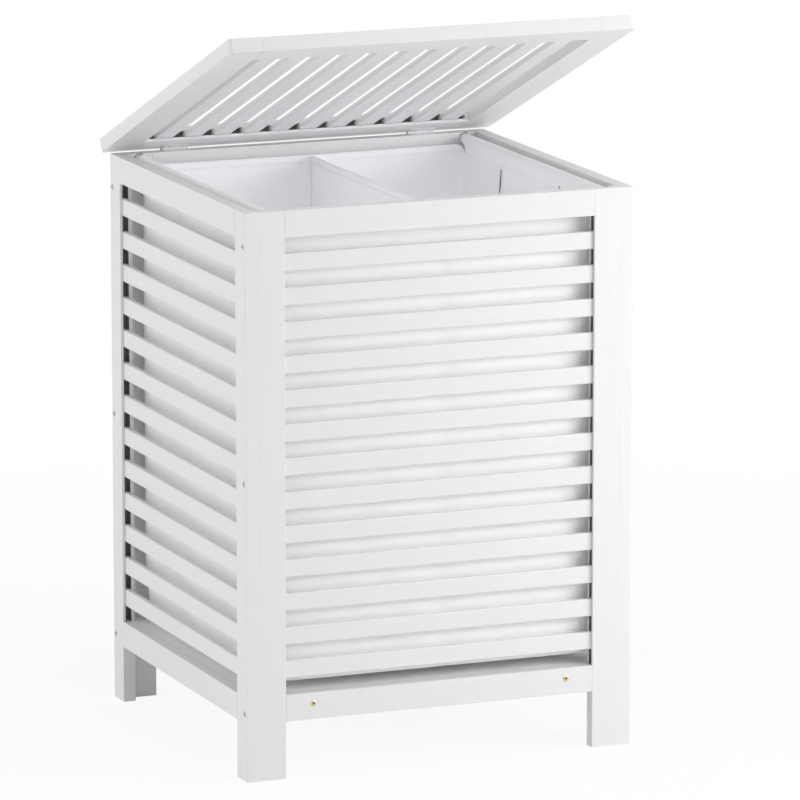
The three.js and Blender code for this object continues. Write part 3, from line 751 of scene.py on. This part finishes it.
across = np.linspace(-1, 1, divider_columns)[None, :]
down = np.linspace(0, 1, divider_rows)[:, None]
divider_y = (bag_half_depth - divider_sewn) * across + 0 * down
divider_top = hem_level - hem_dip - divider_drop * (1 - across**4)
divider_foot = bag_bottom - bottom_sag * (1 - across**2) + divider_lift
divider_z = divider_top * (1 - down) + divider_foot * down
divider_x = divider_across + divider_bow * (1 - across**2) * (1 - down**2)
divider_x = divider_x + (1 - across**6) * (1 - down**6) * (
    soft_creases(divider_y, divider_z, 7, 21, 0.0012)
    + crease(divider_y, divider_z, (0.175, 0.600), (0.080, 0.480), 0.016, 0.0022)
    + 0.0008 * np.sin(2 * math.pi * divider_y / 0.21 + 1.0))
divider = np.dstack([divider_x, divider_y, divider_z])
divider_uv = np.dstack([divider_y, divider_z])
liner_divider = mesh_piece(
    "liner_divider", divider, grid_faces(divider_rows, divider_columns, False), cotton, divider_uv)
thicken(liner_divider, cloth_thickness)


# Hems: the top edges of the front, the back and the divider are folded over twice and stitched,
# which makes a band about 10 mm deep that is thicker than the cloth. The divider's is the thickest.
# Three layers let less light through than one; this shade is painted into its cotton as a darker colour.

hem_depth, hem_half, divider_hem_half, hem_stitch_up = 0.0096, 0.0012, 0.0020, 0.0018
hem_corner, hem_waver = 0.0040, 0.10
pinch_reach, pinch_share, raw_edge_share = 0.0009, 0.25, 0.35


def hem_profile(thick):
    """A closed outline of (out, down): round over the top, that half-thickness down the sides,
    drawn in at the stitching and thinner again at the raw edge."""
    turn = np.linspace(math.pi, 0, 9)
    top = np.stack([np.cos(turn) * thick, thick * (1 - np.sin(turn))], -1)
    depth = np.linspace(thick, hem_depth, 10)[1:]
    pinch = np.exp(-(((depth - hem_depth + hem_stitch_up) / pinch_reach) ** 2))
    half = thick * (1 - pinch_share * pinch - raw_edge_share * (depth / hem_depth) ** 3)
    side = np.stack([half, depth], -1)
    return np.concatenate([top, side, (side * [-1, 1])[::-1]])


def folded_hem(path, out, thick):
    """Carries the hem's outline along a path of points, upright, with out its sideways direction.
    Near both ends its top falls away by a quarter circle."""
    profile = hem_profile(thick)
    steps = travelled(path)
    ripple = 1 + hem_waver * np.sin(steps / 0.017) * np.sin(steps / 0.041 + 1)
    sideways = profile[None, :, 0, None] * out[:, None, :] * ripple[:, None, None]
    points = path[:, None, :] + sideways
    inward = np.clip(1 - np.minimum(steps, steps[-1] - steps) / hem_corner, 0, 1)
    fall = hem_corner * (1 - np.sqrt(1 - 0.96 * inward**2))
    points[..., 2] += hem_half - profile[None, :, 1]
    points[..., 2] -= fall[:, None] * (1 - profile[None, :, 1] / hem_depth)
    uv = np.dstack(np.meshgrid(steps, travelled(profile), indexing="ij"))
    quads = [tuple(f) for f in grid_faces(len(path), len(profile), True)]
    first = tuple(range(len(profile)))
    end = tuple(len(profile) * (len(path) - 1) + i for i in reversed(range(len(profile))))
    return points.reshape(-1, 3), quads + [first, end], uv.reshape(-1, 2)


def top_edge(first, count):
    """Points and outward directions of the bag's top row, over a run of columns."""
    picked = np.arange(first, first + count)
    return bag[0, picked], np.column_stack([ring_out[picked], np.zeros(count)])


front_edge, front_out = top_edge(0, side_columns)
back_edge, back_out = top_edge(2 * (side_columns + corner_columns), side_columns)
divider_edge = divider[0]
divider_out = np.tile([1.0, 0.0, 0.0], (divider_columns, 1))
# Painted shade: the divider hem's cotton is a darker copy of the liner's.
hem_shade_cotton = woven_cotton("off-white cotton, painted a shade darker", "#F9F9FB", "#F0F0F2", thread_spacing)
hem_runs = {
    "front": (front_edge, front_out, hem_half, cotton),
    "back": (back_edge, back_out, hem_half, cotton),
    "divider": (divider_edge, divider_out, divider_hem_half, hem_shade_cotton)}
liner_hems = []
for place, (edge, out, thick, cloth) in hem_runs.items():
    hem_points, hem_faces, hem_uv = folded_hem(edge, out, thick)
    liner_hems.append(mesh_piece(f"liner_{place}_hem", hem_points, hem_faces, cloth, hem_uv))


# Sleeves: the top of each side wall is turned over a rod and sewn down on itself, so it hangs
# as a drop-shaped tube. Over the rod it is a little longer than it is at its seam.

rod_across, rod_level = 0.201, 0.6305
sleeve_radius, seam_level, seam_tail = 0.0052, 0.6162, 0.0032
sleeve_top_reach, sleeve_seam_reach = 0.1974, 0.1862
ease_from, ease_to = 0.6235, 0.6285
sleeve_stations = 90


def sleeve_profile(side):
    """Outline of (x, z) from the inner raw edge up, round the rod and down to the outer one: two
    straight drops that meet at the seam, joined by an arc about the rod."""
    arc_ends = math.radians(202), math.radians(-22)
    bend = np.linspace(*arc_ends, 19)
    arc = np.stack([rod_across + sleeve_radius * np.cos(bend), rod_level + sleeve_radius * np.sin(bend)], -1)
    legs = []
    for top, foot_x in ((arc[0], bag_half_width - 0.0009), (arc[-1], bag_half_width + 0.0009)):
        part = np.linspace(0, 1, 9)[1:, None]
        foot = np.array([foot_x, seam_level])
        leg = top * (1 - part) + foot * part
        leg[:, 0] += 0.0004 * np.sin(math.pi * part[:, 0]) * np.sign(top[0] - rod_across)
        tail = np.array([bag_half_width + 0.3 * (foot_x - bag_half_width), seam_level - seam_tail])
        legs.append(np.vstack([leg, (foot + tail) / 2, tail]))
    outline = np.vstack([legs[0][::-1], arc, legs[1]])
    return outline * [side, 1]


liner_sleeves = []
for name, side in (("left", -1), ("right", 1)):
    outline = sleeve_profile(side)
    along = np.linspace(-1, 1, sleeve_stations)[:, None]
    high = smooth_step(outline[None, :, 1], ease_from, ease_to)
    reach = sleeve_seam_reach + (sleeve_top_reach - sleeve_seam_reach) * high
    sleeve_y = along * reach
    below = 1 - smooth_step(outline[None, :, 1], seam_level, rod_level)
    slack_x = side * 0.0004 * np.sin(sleeve_y / 0.019 + side) * np.sin(math.pi * below)
    slack_z = -0.0005 * below * np.sin(sleeve_y / 0.027 + 2 * side)
    sleeve = np.dstack([outline[None, :, 0] + slack_x, sleeve_y, outline[None, :, 1] + slack_z])
    sleeve_uv = np.dstack([sleeve_y, travelled(outline)[None, :] + 0 * sleeve_y])
    piece = mesh_piece(
        f"liner_{name}_sleeve", sleeve, grid_faces(sleeve_stations, len(outline), False), cotton, sleeve_uv)
    thicken(piece, cloth_thickness)
    liner_sleeves.append(piece)


# Stitching: white cotton thread in lockstitch, 3 mm to a stitch, on both faces of each hem and
# along the seam of each sleeve.

stitch_pitch, stitch_length, thread_radius = 0.0031, 0.0024, 0.00032
stitch_rings, stitch_sides = 4, 6
stitch_sunk, look_ahead = 0.70, 0.001
seam_out, seam_low, seam_points = 0.00145, 0.0006, 60


def read_off(at, reached, values):
    """Values that are given at the points of a line, read off at other distances along it."""
    return np.stack([np.interp(at, reached, values[:, i]) for i in range(3)], -1)


def stitch_run(line, out):
    """Small pods along a line of points: each is a tube whose radius follows a half circle from
    end to end, pressed flat against the cloth along out."""
    reached = travelled(line)
    centres = np.arange(stitch_pitch, reached[-1] - stitch_pitch, stitch_pitch)
    centre = read_off(centres, reached, line)
    ahead = read_off(centres + look_ahead, reached, line) - centre
    ahead /= np.linalg.norm(ahead, axis=1)[:, None]
    sideways = read_off(centres, reached, out)
    upward = np.cross(sideways, ahead)
    part = np.linspace(-1, 1, stitch_rings)[:, None]
    around = np.linspace(0, 2 * math.pi, stitch_sides, endpoint=False)[None, :]
    radius = thread_radius * np.sqrt(1.08 - part**2)
    forward = (0.5 * stitch_length * part + 0 * around)[None, ..., None] * ahead[:, None, None, :]
    lift = (0.7 * radius * np.cos(around))[None, ..., None] * sideways[:, None, None, :]
    spread = (radius * np.sin(around))[None, ..., None] * upward[:, None, None, :]
    return (centre[:, None, None, :] + forward + lift + spread).reshape(-1, stitch_rings * stitch_sides, 3)


runs = []
stitched_at = np.array([0, 0, hem_half - hem_depth + hem_stitch_up])
for edge, out, thick, _ in hem_runs.values():
    for face in (-1, 1):
        runs.append(stitch_run(edge + stitched_at + face * stitch_sunk * thick * out, face * out))
for side in (-1, 1):
    seam_y = np.linspace(-sleeve_seam_reach, sleeve_seam_reach, seam_points)
    seam_z = np.full(seam_points, seam_level - seam_low)
    for face, seam_x in ((-1, bag_half_width - seam_out), (1, bag_half_width + seam_out)):
        seam = np.stack([np.full(seam_points, side * seam_x), seam_y, seam_z], -1)
        runs.append(stitch_run(seam, np.tile([side * face * 1.0, 0, 0], (seam_points, 1))))
pods = np.concatenate(runs)
pod_faces = grid_faces(stitch_rings, stitch_sides, True)
pod_points = stitch_rings * stitch_sides
ends = [tuple(range(stitch_sides))[::-1], tuple(range(pod_points - stitch_sides, pod_points))]
stitch_faces = (pod_faces[None] + (np.arange(len(pods)) * pod_points)[:, None, None]).reshape(-1, 4).tolist()
for pod in range(len(pods)):
    stitch_faces += [tuple(i + pod * pod_points for i in end) for end in ends]

thread = even_finish("white cotton thread", "#DDDDE0", "#F2F2F2", (3500.0, 1.0), 0.75, (0.4, 0.0001))
liner_stitching = mesh_piece("liner_stitching", pods, stitch_faces, thread)

# A small press stud sits at the seam of the right sleeve, towards the front.
stud_radius, stud_dome, stud_dimple = 0.0024, 0.0009, (0.0010, 0.0012, 0.0006)
stud_place = bag_half_width - 0.0015, -0.0860, 0.6180
stud_points, stud_faces, stud_marks = screw_heads(
    stud_radius, stud_dome, stud_dimple, [(stud_place, (-1, 0, 0), 0.0)])
nickel = plated_metal("nickel plate", "#B9B9B6", "#77767A", 0.3)
liner_stud = mesh_piece("liner_stud", stud_points, stud_faces, nickel, stud_marks)

liner_pieces = [
    liner_bag, liner_divider, *liner_hems, *liner_sleeves, liner_stitching, liner_stud, liner_slit_shade_strip]
for piece in liner_pieces:
    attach(piece, "box")
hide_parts("liner")


# Hinges: two small butt hinges of pressed steel in a bright white enamel, each held by two screws
# in either leaf, whose heads lie sunk in their holes. The pins are plain steel wire.

hinge_pivot = (0, 0.2182, 0.6374)
lid_tilt = math.radians(-22.55)
hinge_across, hinge_screw_across, hinge_screw_back = 0.152, 0.0085, 0.00865
leaf_top, hole_radius, head_sunk = 0.0001, 0.00145, 0.0003
small_dome, small_recess = 0.00015, (0.0010, 0.0003, 0.0003)

enamel = even_finish("bright white enamel on pressed steel", "#F6F6F8", "#FDFDFD", (700.0, 2.0),
                     (0.22, 0.34), (0.3, 0.00005))
finish_nodes(enamel, [
    f"hinge_{side}_{leaf}" for side in ("left", "right") for leaf in ("body_leaf", "lid_leaf")])
pin_steel = plated_metal("plain steel wire", "#B4B2AE", "#85827E", 0.32)
finish_nodes(pin_steel, ["hinge_left_pin", "hinge_right_pin"])

# Painted shade: the hinge screws are coloured near black for the shade of the holes they lie sunk in, and
# their recesses darker still.
hole_shade_zinc = plated_metal("zinc plate darkened as hole shade", "#6A665C", "#3C3934", 0.42, "#1C1A18")
lid_turn = Matrix.Translation(hinge_pivot) @ Matrix.Rotation(lid_tilt, 4, "X")
for body, level in (("box", -1), ("lid", 1)):
    placed = lid_turn if body == "lid" else Matrix.Translation(hinge_pivot)
    spots = []
    for across in (-hinge_across, hinge_across):
        for side in (-1, 1):
            spot = placed @ Vector((
                across + side * hinge_screw_across, -hinge_screw_back, level * (leaf_top + head_sunk)))
            normal = placed.to_3x3() @ Vector((0, 0, -level))
            spots.append((tuple(spot), tuple(normal), 0.3 + side))
    points, faces, marks = screw_heads(hole_radius, small_dome, small_recess, spots)
    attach(mesh_piece(f"hinge_screws_{body}", points, faces, hole_shade_zinc, marks), body)


# Lid: a frame of wider members, planed flush, with eleven slats let in from front to back. It is
# made and painted as the panels are, and stands part open on its stiff hinges.

lid_member = 0.040
lid_rear = 0.0008
lid_lengthways = satin_paint("satin paint, lid front to back grain", 1, hinge_pivot, lid_tilt)
lid_groove_low, lid_groove_high, lid_front = 0.0037, 0.0108, 0.4512
# In these grooves the dark grey is painted shade.
rear_groove = ((-1, lid_member - lid_rear - groove_deep, lid_groove_low),
               (1, lid_member - lid_rear - groove_lip, lid_groove_high), 0)
front_groove = ((-1, lid_front - lid_member + groove_lip, lid_groove_low),
                (1, lid_front - lid_member + groove_deep, lid_groove_high), 0)
lid_crossways = satin_paint(
    "satin paint, lid crossways grain", 0, hinge_pivot, lid_tilt, grooves=[front_groove])
lid_comb = satin_paint("satin paint, lid slats and rear rail", 1, hinge_pivot, lid_tilt,
                       other=(1, lid_rear - lid_member, 0), grooves=[rear_groove])
finish_nodes(lid_lengthways, ["lid_left_stile", "lid_right_stile"])
finish_nodes(lid_crossways, ["lid_front_rail"])
finish_nodes(lid_comb, ["lid_rear_rail_with_slats"])
